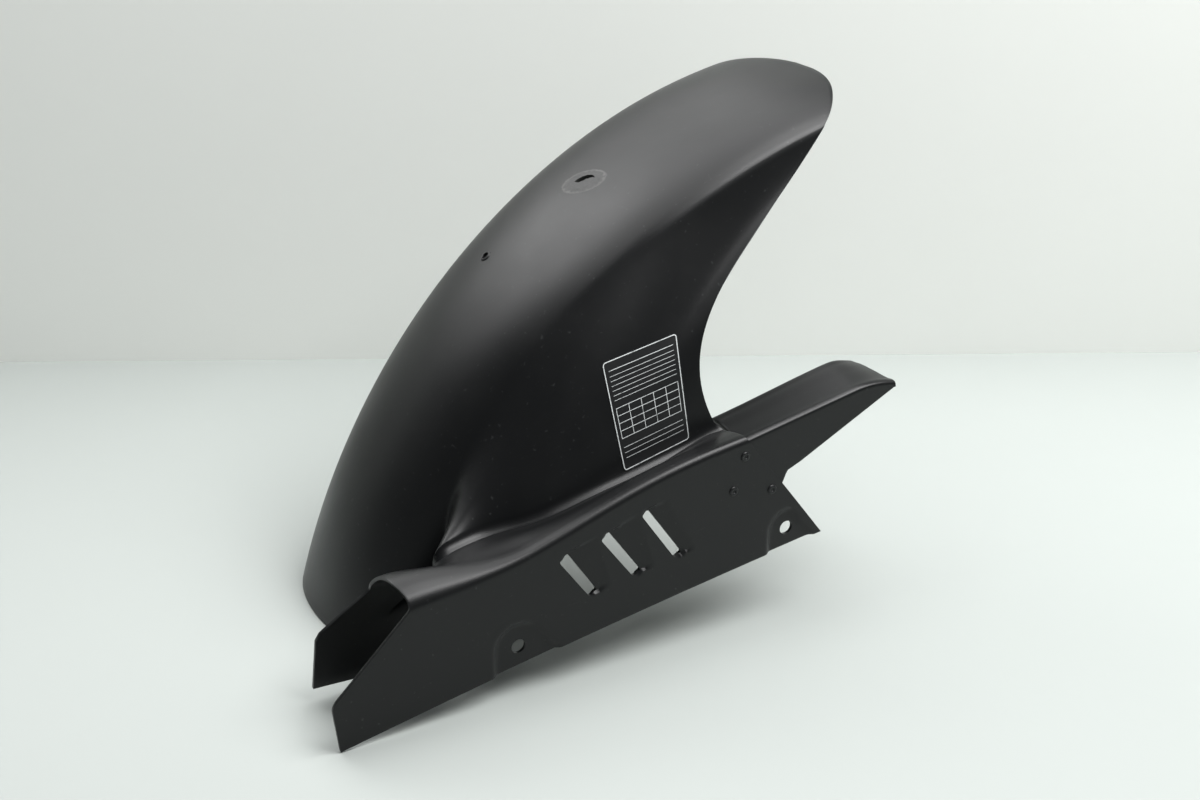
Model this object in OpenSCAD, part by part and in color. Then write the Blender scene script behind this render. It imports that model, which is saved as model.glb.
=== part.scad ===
/* [Sheet] */
// wall thickness of the moulding
wall = 2.5; // [1.8:0.1:4]
// stations along the arch
arch_rows = 36; // [20:1:60]

/* [Arch] */
// front lip of the crown, along the guard
lip_x = 52; // [40:1:80]
// rear tip of the crown, along the guard
tip_x = 492; // [440:1:520]
// rear tip of the crown, above the floor
tip_z = 372; // [330:1:400]
// middle of the arch, out from the outer panel
arch_mid_y = 172; // [150:1:200]
// half width of the arch
arch_half_w = 96; // [80:1:110]

/* [Guard] */
// bore of the two bosses in the outer panel
boss_bore = 11; // [6:0.5:14]
// depth of the dish round each boss
dish_depth = 2.2; // [1:0.1:4]
// clearance between the panel and the tail behind it
lap_gap = 0.2; // [0.1:0.05:0.6]

/* [Far ear] */
// bore of the ear on the far side
ear_bore = 9; // [6:0.5:12]

/* [Hidden] */
satin_black = [0.11, 0.11, 0.12];
panel_black = [0.09, 0.09, 0.10];
film_black = [0.05, 0.05, 0.06];
pin_black = [0.16, 0.16, 0.17];

function mix(a, b, k) = a * (1 - k) + b * k;
function clamp01(v) = min(1, max(0, v));
function smooth(v) = let (c = clamp01(v)) c * c * (3 - 2 * c);
function unit(v) = v / norm(v);
function bez(a, b, c, d, s) =
    a * pow(1 - s, 3) + b * 3 * s * pow(1 - s, 2) + c * 3 * s * s * (1 - s) + d * pow(s, 3);
function spow(v, e) = sign(v) * pow(abs(v), e);

// Unit normal of a grid of points at one place, pointing to the outside of the sheet
function grid_normal(g, i, j) =
    let (ni = len(g) - 1, nj = len(g[0]) - 1,
         a = g[min(i + 1, ni)][j] - g[max(i - 1, 0)][j],
         b = g[i][min(j + 1, nj)] - g[i][max(j - 1, 0)])
    unit(cross(a, b));
function lifted(g, d) =
    [for (i = [0 : len(g) - 1]) [for (j = [0 : len(g[0]) - 1]) g[i][j] + grid_normal(g, i, j) * d]];

// A closed sheet between two grids of the same size, top on the outside
module between(top, low) {
    ni = len(top);
    nj = len(top[0]);
    n = ni * nj;
    pts = concat([for (r = top) for (p = r) p], [for (r = low) for (p = r) p]);
    cells = [for (i = [0 : ni - 2]) for (j = [0 : nj - 2]) i * nj + j];
    faces = concat(
        [for (q = cells) [q, q + 1, q + nj + 1]],
        [for (q = cells) [q, q + nj + 1, q + nj]],
        [for (q = cells) [n + q, n + q + nj + 1, n + q + 1]],
        [for (q = cells) [n + q, n + q + nj, n + q + nj + 1]],
        [for (j = [0 : nj - 2]) [j, n + j, n + j + 1]],
        [for (j = [0 : nj - 2]) [j, n + j + 1, j + 1]],
        [for (j = [0 : nj - 2]) let (q = (ni - 1) * nj + j) [q, q + 1, n + q + 1]],
        [for (j = [0 : nj - 2]) let (q = (ni - 1) * nj + j) [q, n + q + 1, n + q]],
        [for (i = [0 : ni - 2]) let (q = i * nj) [q, q + nj, n + q + nj]],
        [for (i = [0 : ni - 2]) let (q = i * nj) [q, n + q + nj, n + q]],
        [for (i = [0 : ni - 2]) let (q = i * nj + nj - 1) [q, n + q, n + q + nj]],
        [for (i = [0 : ni - 2]) let (q = i * nj + nj - 1) [q, n + q + nj, q + nj]]);
    polyhedron(points = pts, faces = faces, convexity = 10);
}

// Arch: crown line seen from the side, lip to tip
crown_ctrl = [[lip_x, 0], [lip_x + 53, 192], [tip_x - 206, tip_z - 25], [tip_x, tip_z]];
function crown(s) = bez(crown_ctrl[0], crown_ctrl[1], crown_ctrl[2], crown_ctrl[3], s);
// Inward direction of the side walls, turning from level at the lip
function near_dir(t) = let (a = -121 * pow(t, 0.9)) [cos(a), sin(a)];
function far_dir(t) = let (a = -84 * t) [cos(a), sin(a)];
function roundness(t) = mix(2.1, 3.0, smooth(t));
function fall(t) = mix(60, 26, smooth(t * 1.1));
function half_w(t) = arch_half_w - 4 * t;
function crown_point(t, f) =
    let (e = 2 / roundness(t), sy = spow(sin(f), e), dr = 1 - pow(abs(cos(f)), e),
         k = t * (1 - 0.07 * pow(abs(sy), 2) * pow(t, 4)),
         c = crown(k), d = (f < 0 ? near_dir(t) : far_dir(t)) * fall(t) * dr)
    [c[0] + d[0], arch_mid_y + half_w(t) * sy, c[1] + d[1]];

// Inner edge of the flange, which the near side wall grows out of
function base_point(t) = t < 0.26
    ? let (k = t / 0.26) [106 + 8 * k, 68 - 38 * k, 0.5 + 108 * k]
    : let (k = (t - 0.26) / 0.74) [114 + 211 * k, 30 - 4 * k, 108.5 + 44 * k];
near_n = 7;
crown_n = 18;
far_n = 3;
function near_row(t) =
    let (s = crown_point(t, -90), b = base_point(t), f = smooth(t / 0.3), q = b + [-6 * t * t, 7, 6.5 * f],
         l = norm(q - s), d = near_dir(t), p1 = s + [d[0], 0, d[1]] * l * mix(0.35, 0.42, t),
         lean = mix([-0.10, 0.22, 0], [mix(0.05, -0.27, t), 0.05, 0.34], f), p2 = q + lean * l)
    concat([b, b + [0, 3.8, 0.9 * f], b + [-2 * t * t, 6.2, 3.2 * f]],
        [for (k = [0 : near_n - 1]) bez(q, p2, p1, s, k / near_n)]);
function crown_row(t) = [for (k = [0 : crown_n]) crown_point(t, -90 + 180 * k / crown_n)];
function far_row(t) =
    let (s = crown_point(t, 90), a = -84 * t - 26 * t * t, l = 34 + 34 * sin(180 * clamp01(t)))
    [for (k = [1 : far_n]) s + [cos(a), 0.05 - 0.1 * t, sin(a)] * l * k / far_n];
function arch_row(t) = concat(near_row(t), crown_row(t), far_row(t));
arch_grid = [for (i = [0 : arch_rows]) arch_row(i / arch_rows)];

module arch() {
    between(arch_grid, lifted(arch_grid, -wall));
}

// Guard: outer panel, ridge, flange and the mouth with its inner wall
front_pts = [[0, 0, 0], [-4.1, 0, 36.9], [26, 0, 65.6], [52, 0, 90.5], [56, 0.8, 96], [56, 4, 101],
    [54.5, 11, 105], [52.5, 20, 107], [51.5, 28, 107], [50.5, 37, 104.5], [49.5, 45, 99],
    [48.5, 50.5, 93], [47, 53.5, 86], [28, 57, 72], [9, 60, 57], [7, 68, 11]];
rear_pts = [[398.7, 0, 60.7], [377, 0, 89.9], [353, 0, 122], [331.5, 0, 151], [328.5, 0.6, 155],
    [327.5, 2.5, 157], [327, 6, 157.3], [326.5, 11, 156.8], [326, 16, 156], [325.5, 20, 155],
    [325, 24, 154], [324.5, 28, 153.3], [324, 31, 152.6], [323, 32.5, 150], [322, 33, 147],
    [321, 33, 144]];
run = [271.5, 0, 62];
function sag(s) = 3 * sin(180 * s);
function guard_point(j, s) =
    let (f = front_pts[j], r = rear_pts[j])
    j == 0 ? mix(f, r, s) + [0, 0, 3.0 * sin(180 * s)] :
    j < 3 ? mix(f, r, s) :
    let (k = smooth(j < 12 ? s / 0.36 : (s - 0.10) / 0.26), drop = j < 12 ? 0 : (j - 11) * 12,
         a = f + s * (run - [0, 0, drop]), b = r - (1 - s) * run)
    mix(a, b, k) + [0, 0, sag(s)];
guard_steps = 26;
guard_grid = [for (i = [0 : guard_steps])
    [for (j = [0 : len(front_pts) - 1]) guard_point(j, pow(i / guard_steps, 1.15))]];

module guard_sheet() {
    between(guard_grid, lifted(guard_grid, -wall));
}

// Outline of a dish round a boss: round top, open to the bottom edge, tapered to the rear
function dish(c, r, last, tail_pts) = concat(
    [for (a = [180 : -10 : last]) c + r * [cos(a), sin(a)]], tail_pts);
front_boss = [138.5, 38.9];
rear_boss = [367.5, 71.2];

// A flat shape drawn as seen from outside, between two depths behind the outer face
module slab(pts, y0, y1) {
    translate([0, y1, 0]) rotate([90, 0, 0]) linear_extrude(y1 - y0) polygon(pts);
}
module pads() {
    slab(dish(front_boss, 23, 50, [[174, 32], [163.7, 25.6], [117, 19.8]]), wall - 0.6, wall + 2.1);
    slab(dish(rear_boss, 21, 30, [[392, 69.5], [398.4, 61.2], [389.7, 55.4], [346, 52.2]]),
        wall - 0.6, wall + 2.1);
    for (k = [0 : 2]) slab(louvre_pad(k), wall - 0.6, wall + 2.1);
    ear();
    small_ring();
}
module dishes() {
    slab(dish(front_boss, 20.5, 50, [[169, 31], [168, 10], [118, 10]]), -1, dish_depth);
    slab(dish(rear_boss, 18.5, 30, [[391, 66], [402, 50], [349, 40]]), -1, dish_depth);
}

// Three louvres: top left, top right, bottom right and bottom left of each slot
slots = [[[170.2, 99.3], [178.1, 103.5], [202.1, 66.9], [194.7, 64.4]],
    [[204, 107.7], [211.6, 111.6], [238.6, 72.8], [230.9, 70.3]],
    [[237.6, 118], [244.2, 120.5], [273.6, 77.5], [265.9, 75.9]]];
function softened(q, r) = [for (k = [0 : 3]) for (e = [-1, 1])
    let (c = q[k], n = q[(k + e + 4) % 4]) c + r * unit(n - c)];
// The strip behind a slot's rear edge, where the panel is pressed in
function louvre_pad(k) = let (q = slots[k], w = [13, 4])
    [q[1] - 0.5 * w / 13, q[1] + w, q[2] + w, q[2] - 0.5 * w / 13];
module louvre_cut(k) {
    q = slots[k];
    w = [11, 3.4];
    a = [q[1][0], 0, q[1][1]];
    b = [q[2][0], 0, q[2][1]];
    in = [0, 2.1, 0];
    out = [0, -0.5, 0];
    far = [w[0], 0, w[1]];
    back = [-1.5, 0, 0];
    polyhedron(points = [a + out + back, b + out + back, a + in + back, b + in + back, a + in, b + in,
        a + out + far, b + out + far],
        faces = [[0, 2, 3, 1], [2, 4, 5, 3], [4, 6, 7, 5], [6, 0, 1, 7], [0, 6, 4, 2], [1, 3, 5, 7]]);
}

// Ear on the far side wall, bolted from outside
ear_at = far_row(0.34)[1];
ear_bolt = [ear_at[0] + 8, ear_at[1], ear_at[2] - 34];
module ear() {
    translate([0, ear_at[1] + 1, 0]) rotate([90, 0, 0]) linear_extrude(4)
        polygon([[ear_at[0] - 20, ear_at[2] + 6], [ear_bolt[0] - 15, ear_bolt[1] * 0 + ear_bolt[2]],
            for (a = [200 : 20 : 340]) [ear_bolt[0], ear_bolt[2]] + 15 * [cos(a), sin(a)],
            [ear_bolt[0] + 15, ear_bolt[2]], [ear_at[0] + 34, ear_at[2] + 10]]);
}

// Small ringed hole and the worn hole in the crown: station along it, angle across it
function crown_out(t, f) = unit(cross(crown_point(t + 0.01, f) - crown_point(t - 0.01, f),
    crown_point(t, f + 1) - crown_point(t, f - 1)));
ring_at = crown_point(0.5108, 13.4);
ring_out = crown_out(0.5108, 13.4);
worn_at = crown_point(0.6658, 3.6);
worn_out = crown_out(0.6658, 3.6);
worn_along = [0.45, -0.75, 0.28];
module on_crown(at, out, along) {
    n = unit(out);
    e = unit(along - n * (along * n));
    f = cross(n, e);
    multmatrix([[e[0], f[0], n[0], at[0]], [e[1], f[1], n[1], at[1]], [e[2], f[2], n[2], at[2]],
        [0, 0, 0, 1]]) children();
}
module small_ring() {
    on_crown(ring_at, ring_out, [0, 1, 0]) translate([0, 0, -2]) cylinder(d = 9, h = 2.9, $fn = 40);
}
module crown_cuts() {
    on_crown(ring_at, ring_out, [0, 1, 0]) {
        translate([0, 0, -6]) cylinder(d = 3.2, h = 12, $fn = 32);
        translate([0, 0, 0.4]) cylinder(d = 5.6, h = 5, $fn = 32);
    }
    on_crown(worn_at, worn_out, worn_along) translate([0, 0, -7]) linear_extrude(14)
        polygon([[-9, -1.5], [-6, 1.6], [-2, 3.4], [3, 3.8], [7, 2.2], [9, -0.8], [5, 0.2], [1, -0.6],
            [-2, -2.6], [-5, -3.4]]);
}

module hugger() {
    color(satin_black)
    difference() {
        union() {
            arch();
            guard_sheet();
            pads();
        }
        dishes();
        for (k = [0 : 2]) slab(softened(slots[k], 1.6), -2, wall + 5);
        for (k = [0 : 2]) louvre_cut(k);
        for (c = [front_boss, rear_boss])
            translate([c[0], -2, c[1]]) rotate([-90, 0, 0]) cylinder(d = boss_bore, h = 10, $fn = 48);
        for (c = pins)
            translate([c[0], -2, c[1]]) rotate([-90, 0, 0]) cylinder(d = 4, h = 6, $fn = 32);
        translate([ear_bolt[0], ear_bolt[1] - 8, ear_bolt[2]]) rotate([-90, 0, 0])
            cylinder(d = ear_bore, h = 14, $fn = 48);
        crown_cuts();
    }
}

// Tail of the guard: side wall and flat top, lapped behind the panel
pins = [[325.6, 143.1], [316.4, 117], [350.7, 109.6]];
lap = wall + lap_gap;
tail_x = [300, 314, 326, 331, 340, 350, 358, 361, 366, 378, 394, 410, 424, 436, 446, 454, 460, 464];
function tail_top(x) = x < 327 ? 148.2 + (x - 300) * 0.222
    : x < 425 ? 154.2 + (x - 327) * 0.187 : 172.5 + (x - 425) * 0.187 - pow(x - 425, 2) * 0.0058;
function tail_low(x) = x < 359 ? 101 : x < 366 ? 101 + (x - 358) * 2.4
    : x < 378 ? 120.2 + (x - 366) * 0.4 : 125 + (x - 378) * 0.49;
function tail_wide(x) = x < 327 ? 23 : mix(27, 49, pow(clamp01((x - 327) / 60), 0.4));
function tail_row(x) =
    let (t = tail_top(x), w = tail_wide(x), e = smooth((x - 425) / 39), lo = min(tail_low(x), t - 4.5),
         r = [-1.5, 0, 0] * e, up = 2.5 * smooth((x - 330) / 100))
    [[x, lap, lo], [x, lap, mix(lo, t - 3.4, 0.5)], [x, lap, t - 3.4], [x, lap + 0.9, t - 1.2],
     [x, lap + 3, t - 0.2], [x - 1.5 * e, lap + 8, t], [x - 4 * e, mix(lap, w, 0.5), t + up * 0.5],
     [x - 8 * e, mix(lap, w, 0.85), t + up * 0.9], [x - 11 * e, w - 1, t + up - 0.8],
     [x - 12 * e, w, t + up - 4]];
tail_grid = [for (x = tail_x) tail_row(x)];
module chain_guard_tail() {
    color(satin_black)
    difference() {
        between(tail_grid, lifted(tail_grid, -2.2));
        for (c = pins)
            translate([c[0], 0, c[1]]) rotate([-90, 0, 0]) cylinder(d = 4, h = 10, $fn = 32);
    }
}

module tail_rivets() {
    color(pin_black)
    for (c = pins) translate([c[0], 0, c[1]]) rotate([90, 0, 0]) difference() {
        union() {
            cylinder(d1 = 7.6, d2 = 6.4, h = 1.1, $fn = 36);
            translate([0, 0, -lap - 3.2]) cylinder(d = 3.6, h = lap + 3.4, $fn = 28);
            translate([0, 0, -lap - 3.3]) cylinder(d = 5.8, h = 1.1, $fn = 28);
        }
        translate([0, 0, 0.5]) cylinder(d = 3, h = 2, $fn = 28);
    }
}

// Thin printed film on the near side wall
film_corners = [[247.5, 73, 206.6], [301.5, 58, 225.3], [298, 32, 150.5], [240.5, 30, 138.5]];
sight = unit([0.505, 0.76, -0.41]);
film_rows = [14 : arch_rows];
film_grid = [for (i = film_rows) [for (j = [1 : 14]) arch_grid[i][j]]];
function film_at(d) =
    [for (i = [0 : len(film_grid) - 1]) [for (j = [0 : 13])
        arch_grid[i + 14][j + 1] + grid_normal(arch_grid, i + 14, j + 1) * d]];
module label_film() {
    color(film_black)
    intersection() {
        between(film_at(0.4), film_at(0.05));
        polyhedron(points = concat([for (c = film_corners) c - sight * 40],
            [for (c = film_corners) c + sight * 40]),
            faces = [[0, 1, 2, 3], [7, 6, 5, 4], [0, 4, 5, 1], [1, 5, 6, 2], [2, 6, 7, 3], [3, 7, 4, 0]]);
    }
}

// The row's origin is the middle of the front boss's wall
module placed() {
    translate([-front_boss[0], -(dish_depth + wall + 2.1) / 2, -front_boss[1]]) children();
}
placed() hugger();
placed() chain_guard_tail();
placed() tail_rivets();
placed() label_film();
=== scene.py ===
# %% [markdown]
# A rear hugger mudguard: one thin satin black moulding that arches over the tyre and carries the
# upper chain guard on its near side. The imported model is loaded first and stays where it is; every
# skin below is drawn in the same frame, in metres, with +X to the rear of the motorcycle, +Y across
# to the wheel and +Z up.

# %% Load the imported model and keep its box
import math

import bmesh
import bpy
from mathutils import Matrix, Vector, noise
from mathutils.bvhtree import BVHTree


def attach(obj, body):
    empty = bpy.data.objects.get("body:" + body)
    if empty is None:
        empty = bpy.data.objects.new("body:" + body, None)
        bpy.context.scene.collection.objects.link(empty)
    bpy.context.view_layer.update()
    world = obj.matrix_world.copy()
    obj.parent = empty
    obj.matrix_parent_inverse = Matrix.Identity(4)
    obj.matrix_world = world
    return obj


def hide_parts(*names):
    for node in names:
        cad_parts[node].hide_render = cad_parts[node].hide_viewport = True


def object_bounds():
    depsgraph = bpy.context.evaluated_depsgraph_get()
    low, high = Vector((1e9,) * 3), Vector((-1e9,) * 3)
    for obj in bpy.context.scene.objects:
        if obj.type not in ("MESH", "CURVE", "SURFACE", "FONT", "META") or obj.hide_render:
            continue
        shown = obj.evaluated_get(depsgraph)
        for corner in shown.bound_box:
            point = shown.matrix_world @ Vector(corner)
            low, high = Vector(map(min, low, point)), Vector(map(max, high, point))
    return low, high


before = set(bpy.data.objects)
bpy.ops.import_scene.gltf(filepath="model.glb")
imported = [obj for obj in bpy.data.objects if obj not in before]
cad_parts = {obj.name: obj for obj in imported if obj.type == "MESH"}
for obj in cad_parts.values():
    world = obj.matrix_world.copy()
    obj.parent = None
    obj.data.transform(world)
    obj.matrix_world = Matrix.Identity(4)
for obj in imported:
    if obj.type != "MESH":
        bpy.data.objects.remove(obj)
cad_box = [list(corner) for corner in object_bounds()]
print("solids' box", cad_box)

# %% [markdown]
# Blender works in metres, but a moulding is easier to lay out in millimetres, from the front corner
# of its outer panel. One function takes such a point to the frame, so nothing is scaled by hand.

# %% From the layout's millimetres to the frame's metres
MM = 0.001
# The middle of the front boss in the layout, which is the origin of the frame.
ORIGIN = Vector((138.5, 3.4, 38.9))


def place(x, y, z):
    """A point laid out in millimetres, in the frame's metres."""
    return (Vector((x, y, z)) - ORIGIN) * MM


def vectors(*points):
    """Points as vectors, to work with."""
    return [Vector(p) for p in points]


def object_from(name, shape):
    """A finished bmesh as an object in the scene."""
    mesh = bpy.data.meshes.new(name)
    shape.to_mesh(mesh)
    shape.free()
    made = bpy.data.objects.new(name, mesh)
    bpy.context.scene.collection.objects.link(made)
    return made


print("front corner of the panel", place(0, 0, 0))

# %% [markdown]
# The camera stands to the front and above, turned 30 degrees to the rear and tipped 25 degrees
# down, with a lens of about 54 mm. These come from the picture: the ends of the guard's straight
# edges and the lip on the floor fix them.

# %% Camera
camera_data = bpy.data.cameras.new("studio_camera")
camera_data.lens = 54.12
camera_data.sensor_width = 36.0
camera = bpy.data.objects.new("studio_camera", camera_data)
camera.location = (-0.49122, -0.96657, 0.69678)
camera.rotation_euler = (math.radians(65.0), 0.0, math.radians(-30.0))
bpy.context.scene.collection.objects.link(camera)
bpy.context.scene.camera = camera
print("camera at", camera.location[:])

# %% [markdown]
# Every finish below is a small tree of shader nodes. One function adds a node and fills its inputs,
# with a plain value or with another node's output, so that a finish reads like a short recipe.


# %% Helpers for materials
def linear(hex_code):
    """A colour given as an sRGB hex value, in the linear values that a shader takes."""
    parts = [int(hex_code[i : i + 2], 16) / 255 for i in (1, 3, 5)]
    return [c / 12.92 if c <= 0.04045 else ((c + 0.055) / 1.055) ** 2.4 for c in parts] + [1.0]


def new_material(name):
    """A material and its empty node tree."""
    material = bpy.data.materials.new(name)
    material.use_nodes = True
    material.node_tree.nodes.clear()
    return material, material.node_tree


def add_node(tree, kind, inputs=None, **settings):
    """One node: its settings, and inputs that are plain values or sockets to link."""
    node = tree.nodes.new("ShaderNode" + kind)
    for key, value in settings.items():
        setattr(node, key, value)
    for key, value in (inputs or {}).items():
        if isinstance(value, bpy.types.NodeSocket):
            tree.links.new(value, node.inputs[key])
        else:
            node.inputs[key].default_value = value
    return node


def surface(tree, **inputs):
    """The principled shader that ends a tree; an input's name is written with underscores."""
    inputs = {key.replace("_", " "): value for key, value in inputs.items()}
    skin = add_node(tree, "BsdfPrincipled", inputs).outputs["BSDF"]
    add_node(tree, "OutputMaterial", {"Surface": skin})


def calc(tree, operation, *terms):
    """One step of arithmetic with sockets or numbers."""
    return add_node(tree, "Math", dict(enumerate(terms)), operation=operation).outputs["Value"]


def noise_at(tree, where, **values):
    """A noise texture's level at a place."""
    return add_node(tree, "TexNoise", {"Vector": where, **values}).outputs["Fac"]


def ranged(tree, value, low, high, to_low, to_high):
    """A value carried from one range to another and held at its ends."""
    ends = {"From Min": low, "From Max": high, "To Min": to_low, "To Max": to_high}
    return add_node(tree, "MapRange", {"Value": value, **ends}).outputs["Result"]


def ramp(tree, value, stops):
    """A colour ramp: each stop is a position with its colour or its grey level."""
    node = add_node(tree, "ValToRGB", {"Fac": value})
    elements = node.color_ramp.elements
    for n, (position, colour) in enumerate(stops):
        stop = elements[n] if n < 2 else elements.new(position)
        stop.position = position
        stop.color = colour if isinstance(colour, list) else (colour, colour, colour, 1)
    return node.outputs["Color"]


def blend(tree, share, colour, other):
    """A colour mixed with a share of another."""
    return add_node(tree, "Mix", {0: share, 6: colour, 7: other}, data_type="RGBA").outputs[2]


def bumps(tree, height, strength, distance):
    """The shading direction over small bumps."""
    inputs = {"Height": height, "Strength": strength, "Distance": distance}
    return add_node(tree, "Bump", inputs).outputs["Normal"]


# %% [markdown]
# The surroundings are a pale matt floor and a low wall. Both are single faces: their whole work is
# to catch the part's shadow and to give the crown something plain to reflect. A slow noise varies
# the tone by a few hundredths, as painted board does.

# %% Floor and wall
FLOOR_Z = -0.0397
WALL_HEIGHT = 0.52
WALL_LEFT = Vector((-0.1817, 0.7835, FLOOR_Z))
WALL_RIGHT = Vector((0.8881, 0.1952, FLOOR_Z))
SIDE_REACH = 4
FRONT_REACH = 5


def flat_paint(name, hex_code):
    """Matt paint that is very slightly uneven."""
    material, tree = new_material(name)
    here = add_node(tree, "TexCoord").outputs["Object"]
    shade = linear(hex_code)[:3]
    dark = [c * 0.97 for c in shade] + [1]
    light = [min(1, c * 1.02) for c in shade] + [1]
    tone = ramp(tree, noise_at(tree, here, Scale=2.0, Detail=3.0), [(0.0, dark), (1.0, light)])
    surface(tree, Base_Color=tone, Roughness=0.62, Specular_IOR_Level=0.3)
    return material


def stage_plane(name, corners, material):
    """One flat face of the surroundings."""
    shape = bmesh.new()
    shape.faces.new([shape.verts.new(c) for c in corners])
    plane = object_from(name, shape)
    plane.data.materials.append(material)


along = (WALL_RIGHT - WALL_LEFT).normalized()
far_left = WALL_LEFT - along * SIDE_REACH
far_right = WALL_RIGHT + along * SIDE_REACH
toward = Vector((along.y, -along.x, 0)) * FRONT_REACH
up = Vector((0, 0, WALL_HEIGHT))
floor_corners = [far_left + toward, far_right + toward, far_right, far_left]
stage_plane("studio_floor", floor_corners, flat_paint("floor_board", "#A9AEAB"))
wall_corners = [far_left, far_right, far_right + up, far_left + up]
stage_plane("studio_wall", wall_corners, flat_paint("wall_board", "#EEF0EC"))
print("floor at", FLOOR_Z, "and wall", WALL_HEIGHT, "m high")

# %% [markdown]
# A black satin part is seen by what it reflects. Broad soft boxes overhead and behind put the long
# grey band on the crown, and one box to the right of the camera lights the near side. Area lights
# were chosen because their size sets how soft the edge of each reflection is.


# %% Lights
def soft_box(name, at, aim, size, power):
    """A rectangular area light at a place, turned to its aim."""
    data = bpy.data.lights.new(name, "AREA")
    data.shape = "RECTANGLE"
    data.size, data.size_y = size
    data.energy = power
    lamp = bpy.data.objects.new(name, data)
    lamp.location = at
    lamp.rotation_euler = (Vector(aim) - Vector(at)).to_track_quat("-Z", "Y").to_euler()
    bpy.context.scene.collection.objects.link(lamp)


soft_box("overhead_box", (0.12, 1.35, 1.6), (0.11, 1.1, 0.0), (2.0, 2.4), 37.0)
soft_box("back_box", (-0.37, 1.42, 1.27), (0.05, 0.15, 0.25), (0.9, 0.9), 6.5)
soft_box("top_box", (0.55, 0.05, 2.0), (0.5, 0.1, 0.0), (1.5, 0.9), 20.0)
soft_box("wall_box", (0.95, -0.65, 1.9), (0.2, 0.5, 0.1), (1.6, 1.2), 62.0)
world = bpy.data.worlds.new("studio_air")
world.use_nodes = True
air = world.node_tree.nodes["Background"].inputs
air["Color"].default_value = linear("#E4E8EA")
air["Strength"].default_value = 0.15
bpy.context.scene.world = world
bpy.context.scene.view_settings.view_transform = "Standard"
print("lights", [lamp.name for lamp in bpy.data.lights])

# %% [markdown]
# The arch is one curved sheet, so it is written as a function: a station t runs along the crown from
# the lip (0) to the tip (1), and an angle f runs across it from the near side to the far side. The
# section is a rounded square, nearly round at the lip and squarer, with a shoulder, towards the tip.
# A subdivided cage would need many hand-set corners for the same changing section.


# %% The crown line and the section
def mix(a, b, k):
    """From a (k = 0) to b (k = 1)."""
    return a * (1 - k) + b * k


def smooth(v):
    """A soft step from 0 to 1 as v goes from 0 to 1."""
    c = min(1.0, max(0.0, v))
    return c * c * (3 - 2 * c)


def bezier(a, b, c, d, s):
    """A curve from a to d that heads for b and arrives from c."""
    return a * (1 - s) ** 3 + b * 3 * s * (1 - s) ** 2 + c * 3 * s * s * (1 - s) + d * s**3


def bend(a, corner, b, k):
    """A curve from a (k = 0) to b (k = 1) that rounds a corner."""
    return a * (1 - k) ** 2 + corner * 2 * k * (1 - k) + b * k * k


def hermite(a, b, slope_a, slope_b, h, k):
    """A curve from a (k = 0) to b (k = 1), h apart, with the slopes given at both."""
    return (a * (1 + 2 * k) * (1 - k) ** 2 + slope_a * h * k * (1 - k) ** 2
            + b * k * k * (3 - 2 * k) + slope_b * h * k * k * (k - 1))


LIP_X, TIP_X, TIP_Z = 52.0, 492.0, 372.0
ARCH_MID_Y, ARCH_HALF_W, TIP_NARROWS = 172.0, 96.0, 4
CROWN = vectors((LIP_X, 0), (LIP_X + 53, 192), (TIP_X - 206, TIP_Z - 25), (TIP_X, TIP_Z))
# A power of 2 would make the section an ellipse; a higher one makes it squarer.
LIP_POWER, TIP_POWER = 2.1, 3.3
LIP_DROP, TIP_DROP = 60, 26
# The section's sides point straight back at the lip. By the tip they have turned down by so many
# degrees, near side and far side, and they end this part of the crown's length before its middle.
NEAR_TURN, FAR_TURN = -121, -84
TIP_CUT_BACK = 0.07


def crown_point(t, f):
    """A point of the crown at station t, lip to tip, and angle f, near side to far side."""
    e = 2 / mix(LIP_POWER, TIP_POWER, smooth(t))
    side = math.copysign(abs(math.sin(f)) ** e, f)
    drop = mix(LIP_DROP, TIP_DROP, smooth(t * 1.1)) * (1 - abs(math.cos(f)) ** e)
    c = bezier(*CROWN, t * (1 - TIP_CUT_BACK * side * side * t**4))
    turn = math.radians(NEAR_TURN * t**0.9 if f < 0 else FAR_TURN * t)
    y = ARCH_MID_Y + (ARCH_HALF_W - TIP_NARROWS * t) * side
    return Vector((c.x + math.cos(turn) * drop, y, c.y + math.sin(turn) * drop))


print("tip of the crown", place(*crown_point(1.0, 0.0)))

# %% [markdown]
# The near side wall grows out of the chain guard. Its foot line runs through listed points,
# from the mouth along the flange, and a smooth curve joins them. From the foot a small hollow fillet
# turns up into the wall, and one cubic curve takes it on to the crown, which it meets at a shoulder.
# Drawing the wall from these two lines keeps both of them exact, whatever the wall does between.

# %% The near side wall
# The flange starts at this x and is this long; the wall's station is FLANGE_T there and 1 at its end.
FLANGE_X, FLANGE_RUN, FLANGE_T = 96.0, 229.0, 0.2
BASE = vectors(
    (106, 68, 0.5), (103.5, 60, 30), (101, 53, 64), (98.5, 48, 90), (104, 46.8, 98.5),
    (115, 47.8, 101.8), (136, 49, 104.5), (153, 45, 108), (170, 38, 112.5), (187, 33, 118),
    (216, 29.5, 126.5), (247, 27.8, 133.5), (289, 26.8, 143), (325, 26, 152.5))
MOUTH_T = [0.0, 0.065, 0.135, 0.19]
FILLET_PART = 0.12
# The fillet turns at a corner and ends at a knee: how far back, in and up from the foot they lie.
CORNER_BACK, CORNER_IN, CORNER_UP = -1.0, 5.0, 1.6
KNEE_BACK, KNEE_IN, KNEE_UP = -6, 6, 6.5
# Degrees by which the shoulder climbs behind the lip and sinks again towards the tip.
SHOULDER_RISE, SHOULDER_FALL = 38, 26
LEAN_AT_LIP, LEAN_AT_TIP = 0.05, -0.155


def flange_station(x):
    """The station t of the arch whose wall stands on the guard at x."""
    return FLANGE_T + (1 - FLANGE_T) * (x - FLANGE_X) / FLANGE_RUN


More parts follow.
